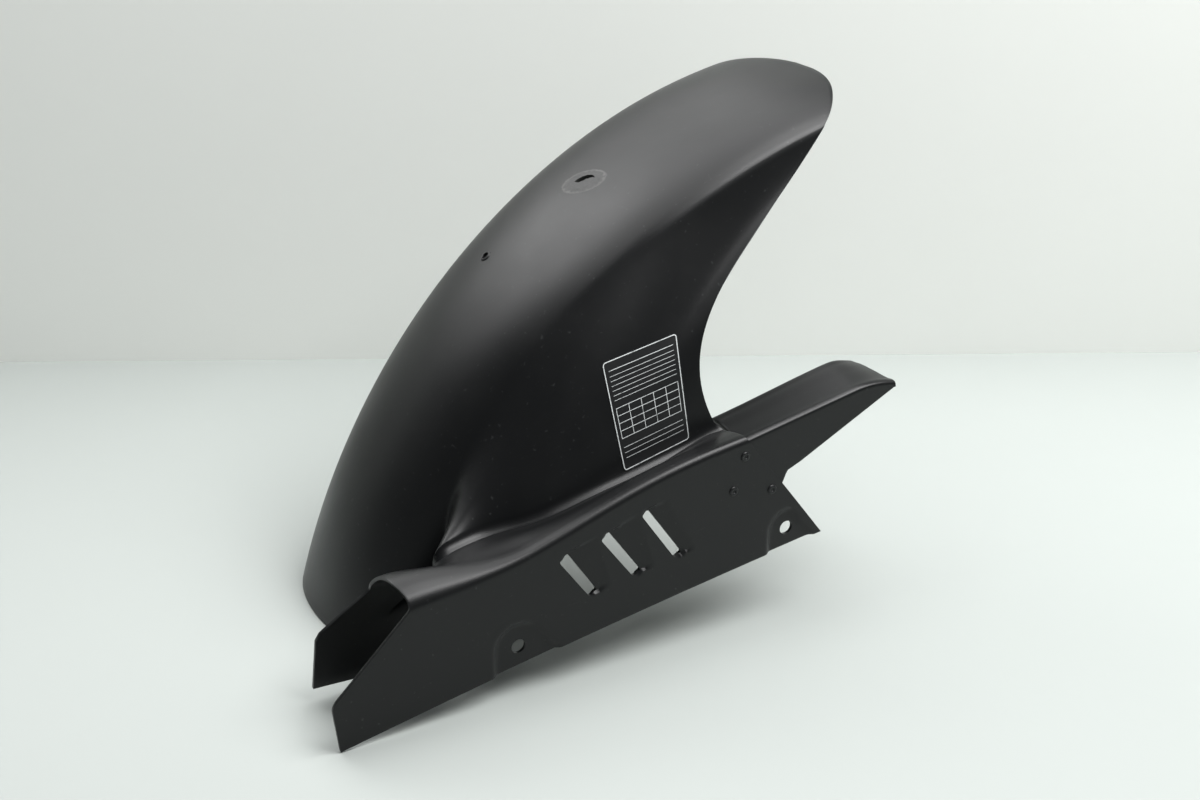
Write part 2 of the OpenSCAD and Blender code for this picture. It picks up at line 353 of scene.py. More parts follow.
BASE_T = MOUTH_T + [flange_station(p.x) for p in BASE[len(MOUTH_T):]]


def base_point(t):
    """A point of the line where the near side wall stands on the guard."""
    i = max(n for n in range(len(BASE) - 1) if n == 0 or BASE_T[n] <= t)

    def slope(n):
        a, b = max(n - 1, 0), min(n + 1, len(BASE) - 1)
        return (BASE[b] - BASE[a]) / (BASE_T[b] - BASE_T[a])

    h = BASE_T[i + 1] - BASE_T[i]
    return hermite(BASE[i], BASE[i + 1], slope(i), slope(i + 1), h, (t - BASE_T[i]) / h)


def shoulder_angle(t):
    """The angle at which the crown passes into the near side wall: high up along the middle."""
    fall = SHOULDER_FALL * smooth((t - 0.45) / 0.45)
    return -math.radians(90 - SHOULDER_RISE * smooth(t / 0.3) + fall)


def near_wall(t, v):
    """The near side wall at station t, from the guard (v = 0) up to the crown (v = 1)."""
    grown = smooth((t - 0.05) / 0.2)
    foot = base_point(t)
    knee = foot + Vector((KNEE_BACK * t * t, KNEE_IN, KNEE_UP * grown))
    if v < FILLET_PART:
        corner = foot + Vector((CORNER_BACK * t * t, CORNER_IN, CORNER_UP * grown))
        return bend(foot, corner, knee, v / FILLET_PART)
    shoulder = shoulder_angle(t)
    top = crown_point(t, shoulder)
    size = (knee - top).length
    rear = smooth((t - 0.45) / 0.55)
    # Down from the crown, the wall sets off in the direction in which the crown arrives.
    before = crown_point(t, max(-math.pi / 2, shoulder - 0.03))
    down = (before - crown_point(t, shoulder + 0.03)).normalized()
    upper = top + down * size * mix(0.22, 0.46, rear)
    # Up from the fillet it leans towards the crown, and more upright behind the mouth.
    rise = 0.5 * smooth((t - 0.15) / 0.25)
    lean = ((top - knee) / size * (1 - rise) + Vector((0, 0, rise))) * 0.3
    lean = lean.lerp(Vector((mix(LEAN_AT_LIP, LEAN_AT_TIP, t), 0.05, 0.34)), rear)
    lower = knee + lean * size
    # Towards the tip the wall leans evenly from the shoulder to the guard, with no slanted middle.
    even = smooth((t - 0.35) / 0.4)
    upper.y = mix(upper.y, mix(top.y, knee.y, 0.33), even)
    lower.y = mix(lower.y, mix(top.y, knee.y, 0.70), even)
    return bezier(knee, lower, upper, top, (v - FILLET_PART) / (1 - FILLET_PART))


print("near wall halfway up at its middle", place(*near_wall(0.5, 0.5)))

# %% [markdown]
# On the far side, which the picture hides, the crown runs out into a plain side wall that is deepest
# in its middle. The three stretches are then one function of two numbers, t along and v across, so
# that a single grid can be carried onto the whole outside of the arch without a seam.

# %% The far side wall and the whole outside
NEAR_END, CROWN_END = 0.40, 0.87
FAR_DEPTH = 34


def far_wall(t, v):
    """The far side wall, from the crown (v = 0) out to its free edge (v = 1)."""
    turn = math.radians(FAR_TURN * t - 26 * t * t)
    size = FAR_DEPTH + FAR_DEPTH * math.sin(math.pi * min(1.0, t))
    out = Vector((math.cos(turn), 0.05 - 0.1 * t, math.sin(turn)))
    return crown_point(t, math.pi / 2) + out * size * v


def arch_point(t, v):
    """The whole outside of the arch: v runs 0 to 1 from the guard over the crown to the far edge."""
    if v < NEAR_END:
        return near_wall(t, v / NEAR_END)
    if v < CROWN_END:
        k = (v - NEAR_END) / (CROWN_END - NEAR_END)
        return crown_point(t, mix(shoulder_angle(t), math.pi / 2, k))
    return far_wall(t, (v - CROWN_END) / (1 - CROWN_END))


print("crown middle", place(*arch_point(0.5, 0.635)))

# %% [markdown]
# A moulded wall is one thin sheet of even thickness. In Blender that is an open grid, whose vertices
# are carried onto a form and which is then thickened inwards and rounded at its rims. Modifiers do
# the last two, because they treat every rim alike, and they are then turned into plain mesh.

# %% A grid carried onto a form, and its wall
WALL = 2.5
SAME_POINT = 0.12


def carried_grid(name, along_count, across_count, form):
    """An open sheet: a grid whose vertices are carried to form(u, v), both from 0 to 1."""
    shape = bmesh.new()
    bmesh.ops.create_grid(shape, x_segments=along_count, y_segments=across_count, size=0.5)
    for vert in shape.verts:
        vert.co = place(*form(vert.co.x + 0.5, vert.co.y + 0.5))
    bmesh.ops.remove_doubles(shape, verts=shape.verts, dist=SAME_POINT * MM)
    sheet = object_from(name, shape)
    print(name, len(sheet.data.polygons), "faces")
    return sheet


def finish_modifiers(piece):
    """Turn a piece's live modifiers into plain mesh."""
    graph = bpy.context.evaluated_depsgraph_get()
    mesh = bpy.data.meshes.new_from_object(piece.evaluated_get(graph))
    piece.modifiers.clear()
    piece.data = mesh


def give_wall(piece, thickness, rim=0.7):
    """Thicken an open sheet inwards, as the mould does, and round its rims."""
    wall = piece.modifiers.new("wall", "SOLIDIFY")
    wall.thickness = thickness * MM
    wall.offset = -1
    wall.use_even_offset = False
    wall.use_quality_normals = True
    if rim:
        edge = piece.modifiers.new("rim", "BEVEL")
        edge.width = rim * MM
        edge.segments = 2
        edge.limit_method = "ANGLE"
        edge.angle_limit = math.radians(55)
    finish_modifiers(piece)


# %% [markdown]
# Two marks sit on the crown: a worn oval, where something hot or rubbing seems to have met the
# plastic, and a small ringed hole. Each gets a frame of its own on the surface, a matrix with its
# place and its outward direction, so that relief, holes and colour can be laid out flat there.


# %% Two places on the crown
def surface_frame(t, f, run):
    """A place on the crown: its point, its outward direction and a direction along it, as a matrix."""
    ahead = crown_point(t + 0.01, f) - crown_point(t - 0.01, f)
    aside = crown_point(t, f + 0.02) - crown_point(t, f - 0.02)
    out = ahead.cross(aside).normalized()
    one = (Vector(run) - out * out.dot(Vector(run))).normalized()
    turn = Matrix((one, out.cross(one), out)).transposed().to_4x4()
    return Matrix.Translation(place(*crown_point(t, f))) @ turn


WORN_RUN = (0.45, -0.75, 0.28)
WORN = surface_frame(0.6614, math.radians(2.7), WORN_RUN)
WORN_HOLE = surface_frame(0.6658, math.radians(3.6), WORN_RUN)
RING = surface_frame(0.5108, math.radians(13.4), (0, 1, 0))
print("worn oval at", WORN.translation[:], "ring at", RING.translation[:])

# %% [markdown]
# Polypropylene, injection moulded against a fine spark-eroded texture: near black, with a satin
# sheen that turns a broad light into a long grey band. Handling leaves it slightly uneven, so
# slow noise moves the roughness a little, and sparse fine hairlines and dust lighten it. In the
# worn oval the skin is a crust, paler and matt, with a pale rim that breaks up. All of this is
# worked out from the place on the part, so no picture has to be wrapped round the form.

# %% Satin black moulding
CRUST_SIZE = (0.0185, 0.0125, 0.014)
CRUST_LEVELS = [(0.0, 0.07), (0.85, 0.14), (0.93, 0.5), (0.97, 0.25), (1.0, 0.0)]


def crusted(tree, here, colour, matt):
    """Lay the worn oval's crust over a colour and a roughness."""
    oval = {"Vector": here, "Location": WORN.translation, "Rotation": WORN.to_euler(), "Scale": CRUST_SIZE}
    inside = add_node(tree, "Mapping", oval, vector_type="TEXTURE").outputs["Vector"]
    far = add_node(tree, "VectorMath", {0: inside}, operation="LENGTH").outputs["Value"]
    crumb = noise_at(tree, here, Scale=330.0, Detail=5.0, Roughness=0.7)
    # The crumbs fray the oval's rim: the reach is 1 where the crust ends.
    reach = calc(tree, "MULTIPLY", calc(tree, "MULTIPLY_ADD", crumb, 0.35, far), 0.78)
    speckle = ranged(tree, crumb, 0.35, 0.65, 0.35, 1.0)
    level = calc(tree, "MULTIPLY", ramp(tree, reach, CRUST_LEVELS), speckle)
    matter = calc(tree, "ADD", matt, ranged(tree, level, 0.0, 0.5, 0.0, 0.32))
    return blend(tree, level, colour, linear("#8A8A88")), matter


def satin_moulding(name, base_hex, mark_hex, rough, worn=True):
    """Black moulded plastic with hairlines and dust, and with the worn oval where asked for."""
    material, tree = new_material(name)
    here = add_node(tree, "TexCoord").outputs["Object"]
    speck = noise_at(tree, here, Scale=260.0, Detail=2.0)
    stretch = {"Vector": here, "Scale": (3.0, 60.0, 22.0), "Rotation": (0.3, 0.5, 0.2)}
    drawn_out = add_node(tree, "Mapping", stretch).outputs["Vector"]
    hair = noise_at(tree, drawn_out, Scale=9.0, Detail=6.0, Roughness=0.7)
    hairlines = ramp(tree, hair, [(0.66, 0), (0.78, 1)])
    dust = ramp(tree, speck, [(0.68, 0), (0.80, 1)])
    marked = calc(tree, "MULTIPLY", calc(tree, "MAXIMUM", hairlines, dust), 0.30)
    colour = blend(tree, marked, linear(base_hex), linear(mark_hex))
    handled = noise_at(tree, here, Scale=9.0, Detail=4.0, Roughness=0.6)
    matt = ranged(tree, handled, 0.3, 0.7, rough - 0.05, rough + 0.06)
    if worn:
        colour, matt = crusted(tree, here, colour, matt)
    # The real grain is about 0.1 mm; it is drawn at about 0.5 mm so that the render can show it.
    grain = bumps(tree, noise_at(tree, here, Scale=1900.0, Detail=2.0), 0.10, 0.0004)
    surface(tree, Base_Color=colour, Roughness=matt, Normal=grain, IOR=1.49, Specular_IOR_Level=0.34)
    return material


hugger_black = satin_moulding("polypropylene_satin", "#0C0D0E", "#484A4A", 0.36)
pin_black = satin_moulding("nylon_pin", "#141516", "#5A5C5D", 0.36, worn=False)
print("plastics", hugger_black.name, pin_black.name)

# %% [markdown]
# The arch's grid is cut finer in the worn oval, and a noise that is the same in each run raises and
# lowers the vertices there, so that the crust has real relief that light can catch. A bump in the
# material alone would leave the torn hole with a clean, flat surround.

# %% The arch sheet with its worn place
OVAL_X, OVAL_Y, OVAL_DEEP = 0.0165, 0.0115, 0.02
OUTSIDE = 9.0
RELIEF_REACH = 1.35
# Heights in the crust, in mm.
BED_SUNK, RIM_RAISED, CRUMBS = 0.35, 0.35, 0.8
to_worn = WORN.inverted()


def worn_reach(point):
    """How far out in the worn oval a point is: 1 on its rim."""
    local = to_worn @ point
    return math.hypot(local.x / OVAL_X, local.y / OVAL_Y) if abs(local.z) < OVAL_DEEP else OUTSIDE


def crust_relief(at, reach):
    """How far the crust stands above the moulding, in mm: a sunk crumbly bed in a raised rim."""
    bed = smooth((1.3 - reach) / 0.35)
    rough = noise.noise(at * 420.0) * 0.55 + noise.noise(at * 1100.0) * 0.35
    rim = math.exp(-(((reach - 0.95) / 0.16) ** 2)) * RIM_RAISED
    return bed * (rough * CRUMBS - BED_SUNK) + rim


arch = carried_grid("hugger_arch", 132, 104, arch_point)
shape = bmesh.new()
shape.from_mesh(arch.data)
for limit in (1.75, 1.55):
    near = [edge for edge in shape.edges if all(worn_reach(v.co) < limit for v in edge.verts)]
    bmesh.ops.subdivide_edges(shape, edges=near, cuts=1, use_grid_fill=True, smooth=0.0)
shape.normal_update()
moves = {}
for vert in shape.verts:
    reach = worn_reach(vert.co)
    if reach < RELIEF_REACH:
        moves[vert] = vert.normal * crust_relief(vert.co, reach) * MM
for vert, move in moves.items():
    vert.co += move
shape.to_mesh(arch.data)
shape.free()
give_wall(arch, WALL)
print("arch", len(arch.data.polygons), "faces, moved for wear", len(moves))

# %% [markdown]
# The chain guard is a second sheet of the same moulding: an outer panel, a rounded ridge and, at
# the front, an inner wall, which together make a mouth like an upside down U. Ruled lines run from
# the points of the front outline to those of the rear one, and a smooth curve joins the points
# across. That keeps the long edges true, which a subdivided cage would pull in at their ends.

# %% The guard's outlines
# Points 0 to 3 go up the outer panel, 3 to 12 over the ridge and 12 to 15 down the inner wall.
FRONT = vectors(
    (0, 0, 0), (-4.1, 0, 36.9), (26, 0, 65.6), (52, 0, 90.5), (56, 0.8, 96), (56, 4, 101),
    (54.5, 11, 105), (52.5, 20, 107), (51.5, 28, 107), (50.5, 37, 104.5), (49.5, 45, 99),
    (48.5, 50.5, 93), (47, 53.5, 86), (28, 57, 72), (9, 60, 57), (7, 68, 11))
REAR = vectors(
    (398.7, 0, 60.7), (377, 0, 89.9), (353, 0, 122), (331.5, 0, 151), (328.5, 0.6, 155),
    (327.5, 2.5, 157), (327, 6, 157.3), (326.5, 11, 156.8), (326, 16, 156), (325.5, 20, 155),
    (325, 24, 154), (324.5, 28, 153.3), (324, 31, 152.6), (323, 32.5, 150), (322, 33, 147),
    (321, 33, 144))
RIDGE, CREST, INNER, LAST = 3, 8, 12, 15
# Along this way the front outline is carried back and the rear one forward, and the one fades into
# the other.
RUN = Vector((271.5, 0, 62))
LOW_BOW, RIDGE_BOW = 3, -4.5
# The ridge and the inner wall pass from their front form to their rear one early along the guard.
RIDGE_CHANGE, INNER_FROM, INNER_CHANGE = 0.36, 0.10, 0.26
INNER_FAN = 12


def ruled_station(j, s):
    """Outline point j of the guard at s along it, front 0 to rear 1, on ruled lines that bow a little."""
    lift = Vector((0, 0, 0))
    if j == 0:
        lift.z = LOW_BOW * math.sin(math.pi * s)
    if j >= RIDGE:
        lift.z = RIDGE_BOW * math.sin(2 * math.pi * s)
    if j < RIDGE:
        return FRONT[j].lerp(REAR[j], s) + lift
    k = smooth(s / RIDGE_CHANGE if j < INNER else (s - INNER_FROM) / INNER_CHANGE)
    drop = 0 if j < INNER else (j - INNER + 1) * INNER_FAN
    a = FRONT[j] + (RUN - Vector((0, 0, drop))) * s
    return a.lerp(REAR[j] - RUN * (1 - s), k) + lift


def guard_stations(s):
    """All the outline points at s: past the ridge they run over to where the near side wall stands."""
    points = [ruled_station(j, s) for j in range(LAST + 1)]
    c = points[CREST]
    e = base_point(flange_station(min(max(c.x, FLANGE_X), FLANGE_X + FLANGE_RUN)))
    foot = Vector((c.x, e.y, e.z))
    low = foot + Vector((0, 5.5, -6))
    slide = low - points[INNER]
    # From the crest the ridge runs nearly level to the foot, and turns down behind it.
    goal = {9: c.lerp(foot, 0.45) + Vector((0, 0, 0.8)), 10: c.lerp(foot, 0.88) + Vector((0, 0, 0.2)),
            11: foot + Vector((0, 3.5, -1.2)), INNER: low}
    for j in range(INNER + 1, LAST + 1):
        goal[j] = points[j] + slide * (1.3 - 0.23 * (j - 11))
    w = smooth((s - 0.02) / 0.16) * (1 - smooth((s - 0.78) / 0.2))
    for j, to in goal.items():
        points[j] = points[j].lerp(to, w)
    return points


def across(points, j, first, last):
    """A smooth curve through the points first to last, straight lines outside them."""
    i = min(int(j), len(points) - 2)
    if i < first or i >= last:
        return points[i].lerp(points[i + 1], j - i)
    gap = [(b - a).length for a, b in zip(points, points[1:])]
    slope = [(b - a) / h for a, b, h in zip(points, points[1:], gap)]

    def lean(n):
        if n <= first:
            return slope[max(first - 1, 0)]
        if n >= last:
            return slope[min(last, len(slope) - 1)]
        return (slope[n - 1] * gap[n] + slope[n] * gap[n - 1]) / (gap[n - 1] + gap[n])

    return hermite(points[i], points[i + 1], lean(i), lean(i + 1), gap[i], j - i)


print("ridge at the mouth and at the seam", guard_stations(0.0)[CREST][:], guard_stations(1.0)[CREST][:])

# %% [markdown]
# Dishes are pressed in round the two bosses, and behind each slot the panel is pressed in as a
# louvre. A press only moves the sheet inwards, so here the depth is a function of the place on the
# panel. Vertices close to a pressed outline are first slid onto it, so that each outline stays clean.

# %% Pressed outlines in the panel, as seen from outside
FRONT_BOSS, REAR_BOSS = (138.5, 38.9), (367.5, 71.2)
FRONT_FOOT = [(172, 31), (171, 0), (116.5, 0)]
REAR_FOOT = [(366.6, 90.5), (370.6, 89.3), (374.4, 85.0), (400, 50.6), (348, 40)]
SLOTS = [vectors((170.2, 99.3), (178.1, 103.5), (202.1, 66.9), (194.7, 64.4)),
         vectors((204, 107.7), (211.6, 111.6), (238.6, 72.8), (230.9, 70.3)),
         vectors((237.6, 118), (244.2, 120.5), (273.6, 77.5), (265.9, 75.9))]
LOUVRE_RUN = Vector((0.955, 0.297))
# How far each louvre runs back from its slot, at the slot's top and at its foot.
LOUVRE_REACH = [(25.0, 10.0), (25.0, 10.0), (15.0, 10.0)]
# The pressing starts this far ahead of a slot's rear edge and is full depth after a ramp.
LOUVRE_DEPTH, LOUVRE_AHEAD, LOUVRE_RAMP = 2.1, 6.5, 4.5
DISH_DEPTH, DISH_STEP = 3.0, 5.2
# A vertex this close to a pressed outline slides onto it.
CLOSE, SLACK = 0.6, 0.01
SETTLE_AHEAD, SETTLE_PAST = 3, 1


def arc(centre, radius, first, last, step):
    """Points of an arc, from one angle in degrees to before another."""
    turns = [math.radians(a) for a in range(first, last, step)]
    return [(centre[0] + radius * math.cos(a), centre[1] + radius * math.sin(a)) for a in turns]


def outline_distance(outline, p):
    """Distance from a point to an outline, negative inside, and the nearest point on it."""
    best, nearest, inside = math.inf, p, False
    for n, a in enumerate(outline):
        b = outline[(n + 1) % len(outline)]
        k = min(1.0, max(0.0, (p - a).dot(b - a) / (b - a).length_squared))
        q = a.lerp(b, k)
        if (p - q).length < best:
            best, nearest = (p - q).length, q
        if (a.y > p.y) != (b.y > p.y) and p.x < a.x + (p.y - a.y) / (b.y - a.y) * (b.x - a.x):
            inside = not inside
    return (-best if inside else best), nearest


def louvre_place(n, p):
    """How far along (0 to 1) and behind (mm) the rear edge of slot n a point lies."""
    edge = SLOTS[n][2] - SLOTS[n][1]
    d = p - SLOTS[n][1]
    cross = edge.x * LOUVRE_RUN.y - edge.y * LOUVRE_RUN.x
    return (d.x * LOUVRE_RUN.y - d.y * LOUVRE_RUN.x) / cross, (edge.x * d.y - edge.y * d.x) / cross


def louvre_reach(n, one):
    """How far louvre n runs back, at a part of its slot's length."""
    return mix(*LOUVRE_REACH[n], min(1.0, max(0.0, one)))


def settle(p):
    """Slide a point of the panel onto a pressed outline that passes close by."""
    for outline in DISHES:
        gap, nearest = outline_distance(outline, p)
        if abs(gap) < CLOSE:
            return nearest
    for n, slot in enumerate(SLOTS):
        one, behind = louvre_place(n, p)
        edge = slot[2] - slot[1]
        if -SETTLE_AHEAD < behind < louvre_reach(n, one) + SETTLE_PAST:
            for rim in (0.0, 1.0):
                if abs(one - rim) * edge.length < CLOSE:
                    return p + edge * (rim - one)
    return p


def pressed(p):
    """Depth of the pressing at a point of the panel."""
    depth = 0.0
    for outline in DISHES:
        gap = outline_distance(outline, p)[0]
        if gap < 0:
            depth = max(depth, DISH_DEPTH * smooth(-gap / DISH_STEP))
    for n in range(len(SLOTS)):
        one, behind = louvre_place(n, p)
        if -SLACK < one < 1 + SLACK and -LOUVRE_AHEAD < behind:
            ramp_in = smooth((behind + LOUVRE_AHEAD) / LOUVRE_RAMP)
            fade = 1 - max(0.0, behind) / louvre_reach(n, one)
            depth = max(depth, LOUVRE_DEPTH * ramp_in * fade)
    return depth


DISHES = [vectors(*arc(FRONT_BOSS, 22.0, 180, 49, -6), *FRONT_FOOT),
          vectors(*arc(REAR_BOSS, 19.5, 180, 99, -6), *REAR_FOOT)]
print("depth in the front dish", pressed(Vector((150, 40))))
print("depth behind the first slot", round(pressed(Vector((192, 87))), 2))

# %% [markdown]
# The guard's grid runs along the guard one way and across it the other: up the panel, over the ridge
# and down the inner wall. The corner of the panel's front and rear edges is rounded by a short
# bend. Each station along the guard is worked out once and kept, because a grid asks for it in every
# one of its rows.

# %% The guard sheet
PANEL_END, RIDGE_END = 0.48, 0.88
CORNER_HALF = 0.14
stations_at = {}


def rounded_corner(stations, j, point):
    """A point of the panel, moved onto the round of corner 1 where it is close to it."""
    if abs(j - 1) >= CORNER_HALF:
        return point
    a = stations[0].lerp(stations[1], 1 - CORNER_HALF)
    b = stations[1].lerp(stations[2], CORNER_HALF)
    return bend(a, stations[1], b, (j - (1 - CORNER_HALF)) / (2 * CORNER_HALF))


def guard_form(s, v):
    """The guard's outside: s from front to rear, v from the panel's low edge over to the inner wall."""
    key = round(s, 6)
    if key not in stations_at:
        stations_at[key] = guard_stations(s)
    stations = stations_at[key]
    if v < PANEL_END:
        j = v / PANEL_END * RIDGE
        point = rounded_corner(stations, j, across(stations, j, RIDGE, INNER))
        flat = Vector((point.x, point.z))
        if 0.001 < s < 0.999 and 0.001 < v < PANEL_END - 0.01:
            flat = settle(flat)
        return Vector((flat.x, point.y + pressed(flat), flat.y))
    if v < RIDGE_END:
        j = RIDGE + (v - PANEL_END) / (RIDGE_END - PANEL_END) * (INNER - RIDGE)
    else:
        j = INNER + (v - RIDGE_END) / (1 - RIDGE_END) * (LAST - INNER)
    return across(stations, j, RIDGE, INNER)


guard = carried_grid("hugger_guard", 236, 108, guard_form)
give_wall(guard, WALL)

# %% [markdown]
# Holes are cut with solid cutters: it is what a punch or a core pin in the mould leaves, and the
# Boolean modifier keeps the round ones truly round whatever the grid does around them.


# %% Cutters
def solid_from_outline(name, outline, low, high, matrix=None, rim=0.0):
    """A flat outline pushed through from depth low to high (mm): seen from outside, or on a matrix."""
    shape = bmesh.new()
    if matrix is None:
        corners = [place(p[0], low, p[1]) for p in outline]
        push = Vector((0, (high - low) * MM, 0))
    else:
        corners = [matrix @ Vector((p[0] * MM, p[1] * MM, low * MM)) for p in outline]
        push = matrix.to_3x3() @ Vector((0, 0, (high - low) * MM))
    face = shape.faces.new([shape.verts.new(corner) for corner in corners])
    grown = bmesh.ops.extrude_face_region(shape, geom=[face])["geom"]
    pushed = [part for part in grown if isinstance(part, bmesh.types.BMVert)]
    bmesh.ops.translate(shape, vec=push, verts=pushed)
    bmesh.ops.recalc_face_normals(shape, faces=shape.faces)
    if rim:
        sharp = [e for e in shape.edges if e.is_manifold and e.calc_face_angle() > math.radians(60)]
        bmesh.ops.bevel(shape, geom=sharp, offset=rim * MM, offset_type="OFFSET", segments=2,
                        profile=0.5, affect="EDGES", material=-1)
    return object_from(name, shape)


def circle(centre, radius, count=40):
    """The corners of a round hole."""
    turns = [2 * math.pi * n / count for n in range(count)]
    return [(centre[0] + radius * math.cos(a), centre[1] + radius * math.sin(a)) for a in turns]


def softened(outline, radius):
    """An outline with each corner rounded."""
    points = []
    for n, corner in enumerate(outline):
        a = corner + (outline[n - 1] - corner).normalized() * radius
        b = corner + (outline[(n + 1) % len(outline)] - corner).normalized() * radius
        points += [bend(a, corner, b, k) for k in (0, 0.25, 0.5, 0.75, 1)]
    return points


def inset(slot, gap):
    """A slot's outline with its two short ends drawn in a little, clear of the pressed side walls."""
    edge = (slot[2] - slot[1]).normalized() * gap
    return [slot[0] + edge, slot[1] + edge, slot[2] - edge, slot[3] - edge]


def cut(piece, cutters):
    """Take the cutters away from a piece and throw them away."""
    for n, cutter in enumerate(cutters):
        bite = piece.modifiers.new("cut_%d" % n, "BOOLEAN")
        bite.operation = "DIFFERENCE"
        bite.solver = "EXACT"
        bite.object = cutter
    finish_modifiers(piece)
    for cutter in cutters:
        bpy.data.objects.remove(cutter)
    print(piece.name, "after", len(cutters), "cuts:", len(piece.data.polygons), "faces")


# %% [markdown]
# In the panel are the three slots, a bore through each boss and the holes of the three pins. The
# slots get round corners first, as a moulded opening has, and all the cutters go in one stack of
# modifiers, which is turned into plain mesh once.

# %% Cut the slots, bores and pin holes in the guard
PINS = [(325.6, 143.1), (316.4, 117), (350.7, 109.6)]
PIN_HOLE, BORE = 2.0, 5.5
SLOT_CORNER, SLOT_INSET = 2.2, 0.25
rounded_slots = [softened(inset(slot, SLOT_INSET), SLOT_CORNER) for slot in SLOTS]
cutters = [solid_from_outline("slot_cutter", slot, -3, 9) for slot in rounded_slots]
for boss in (FRONT_BOSS, REAR_BOSS):
    cutters.append(solid_from_outline("bore_cutter", circle(boss, BORE, 48), -3, 9))
cutters += [solid_from_outline("pin_cutter", circle(c, PIN_HOLE, 24), -3, 6) for c in PINS]
cut(guard, cutters)

# %% [markdown]
# The ring round the small hole is a turned shape, so its profile is spun round an axis, which keeps
# it truly round. The hole, the ring's recess and the torn crescent in the worn oval are then cut
# through the arch.

# %% The ring, its hole and the torn crescent
RING_PROFILE = [(2.8, -1.6), (2.8, 0.5), (3.0, 0.85), (3.5, 0.95), (4.1, 0.8), (4.6, 0.35),
                (4.9, -0.1), (4.9, -1.6)]
RECESS, SMALL_HOLE = 2.75, 1.6
CRESCENT = [(-9, -1.5), (-7.6, 0.4), (-6, 1.6), (-4.2, 2.9), (-2, 3.4), (0.5, 4.1), (3, 3.8),
            (5.2, 3.4), (7, 2.2), (8.3, 1.0), (9, -0.8), (7, 0.3), (5, 0.2), (3, -0.5), (1, -0.6),
            (-0.6, -1.9), (-2, -2.6), (-3.4, -3.4), (-5, -3.4), (-7.4, -2.6)]
TOUCHING = 1e-7


def turned(profile, steps, closed):
    """A profile of radius and height (mm) spun round the Z axis, as a bmesh to go on with."""
    shape = bmesh.new()
    verts = [shape.verts.new((r * MM, 0, z * MM)) for r, z in profile]
    pairs = list(zip(verts, verts[1:]))
    if closed:
        pairs.append((verts[-1], verts[0]))
    edges = [shape.edges.new(pair) for pair in pairs]
    bmesh.ops.spin(shape, geom=verts + edges, cent=(0, 0, 0), axis=(0, 0, 1), angle=2 * math.pi,
                   steps=steps, use_merge=True)
    bmesh.ops.remove_doubles(shape, verts=shape.verts, dist=TOUCHING)
    bmesh.ops.recalc_face_normals(shape, faces=shape.faces)
    return shape


shape = turned(RING_PROFILE, 40, closed=True)
bmesh.ops.transform(shape, matrix=RING, verts=shape.verts)
ring = object_from("hugger_ring", shape)
cut(arch, [solid_from_outline("hole_cutter", circle((0, 0), SMALL_HOLE, 28), -8, 8, RING),
           solid_from_outline("recess_cutter", circle((0, 0), RECESS, 28), -0.9, 8, RING),
           solid_from_outline("crescent_cutter", CRESCENT, -8, 8, WORN_HOLE)])

# %% [markdown]
# The far side wall carries a bolt ear, on the side that the picture hides. It is a flat tongue 4 mm
# thick that hangs from the wall's edge, pushed out of its outline, with its edges rounded a little
# and one round hole.

# %% The ear
EAR_RADIUS, EAR_HOLE = 15, 4.5
ear_root = far_wall(0.34, 2 / 3)
ear_bolt = (ear_root.x + 8, ear_root.z - 34)
tongue = [(ear_root.x - 20, ear_root.z + 6), (ear_bolt[0] - EAR_RADIUS, ear_bolt[1])]
tongue += arc(ear_bolt, EAR_RADIUS, 190, 350, 10)
tongue += [(ear_bolt[0] + EAR_RADIUS, ear_bolt[1]), (ear_root.x + 34, ear_root.z + 10)]
ear = solid_from_outline("hugger_ear", tongue, ear_root.y - 3, ear_root.y + 1, rim=0.6)
hole = circle(ear_bolt, EAR_HOLE, 48)
cut(ear, [solid_from_outline("ear_cutter", hole, ear_root.y - 8, ear_root.y + 8)])

# %% [markdown]
# The rear half of the chain guard is a separate moulding lapped behind the panel. It is a sheet
# too: a side wall that turns sharply into a nearly flat top and is cut off round at its end. Its
# edges are a few straight stretches and one bow, so they are written as functions of x.

# %% The tail
TAIL_X, TAIL_RUN, TAIL_WALL, TAIL_RIM = 300, 164, 2.2, 0.6
LAP = 2.7
# The tongue under the guard's ridge is narrow; the tail has its full width behind it.
TONGUE_END, TONGUE_W, TAIL_W = 326, 23.0, 49.0
SEAM_X, ROUND_X, ROUND_RUN = 327, 425, 39
TOP_SLOPE, ROUND_BOW = 0.187, 0.0058
LEVEL_Z, STEP_X, SHORT_X, LONG_X = 101, 359, 366, 378
# Points of a tail's row: 0 to 2 up its side, 2 to 8 over the edge and across the top, 9 its far rim.
TAIL_ROWS = ((0.0, 0), (0.36, 2), (0.56, 5), (0.86, 7), (0.93, 8), (1.0, 9))


def tail_top(x):
    """Height of the tail's top: it rises evenly from under the ridge, and its end bows down."""
    if x < SEAM_X:
        return 148.2 + (x - TAIL_X) * 0.222
    if x < ROUND_X:
        return 154.2 + (x - SEAM_X) * TOP_SLOPE
    return 172.5 + (x - ROUND_X) * TOP_SLOPE - (x - ROUND_X) ** 2 * ROUND_BOW


def tail_low(x):
    """Height of the tail's low edge: level behind the panel, a steep stretch up, then a long rise."""
    if x < STEP_X:
        return LEVEL_Z
    if x < SHORT_X:
        return LEVEL_Z + (x - STEP_X + 1) * 2.4
    if x < LONG_X:
        return 120.2 + (x - SHORT_X) * 0.4
    return 125 + (x - LONG_X) * 0.49


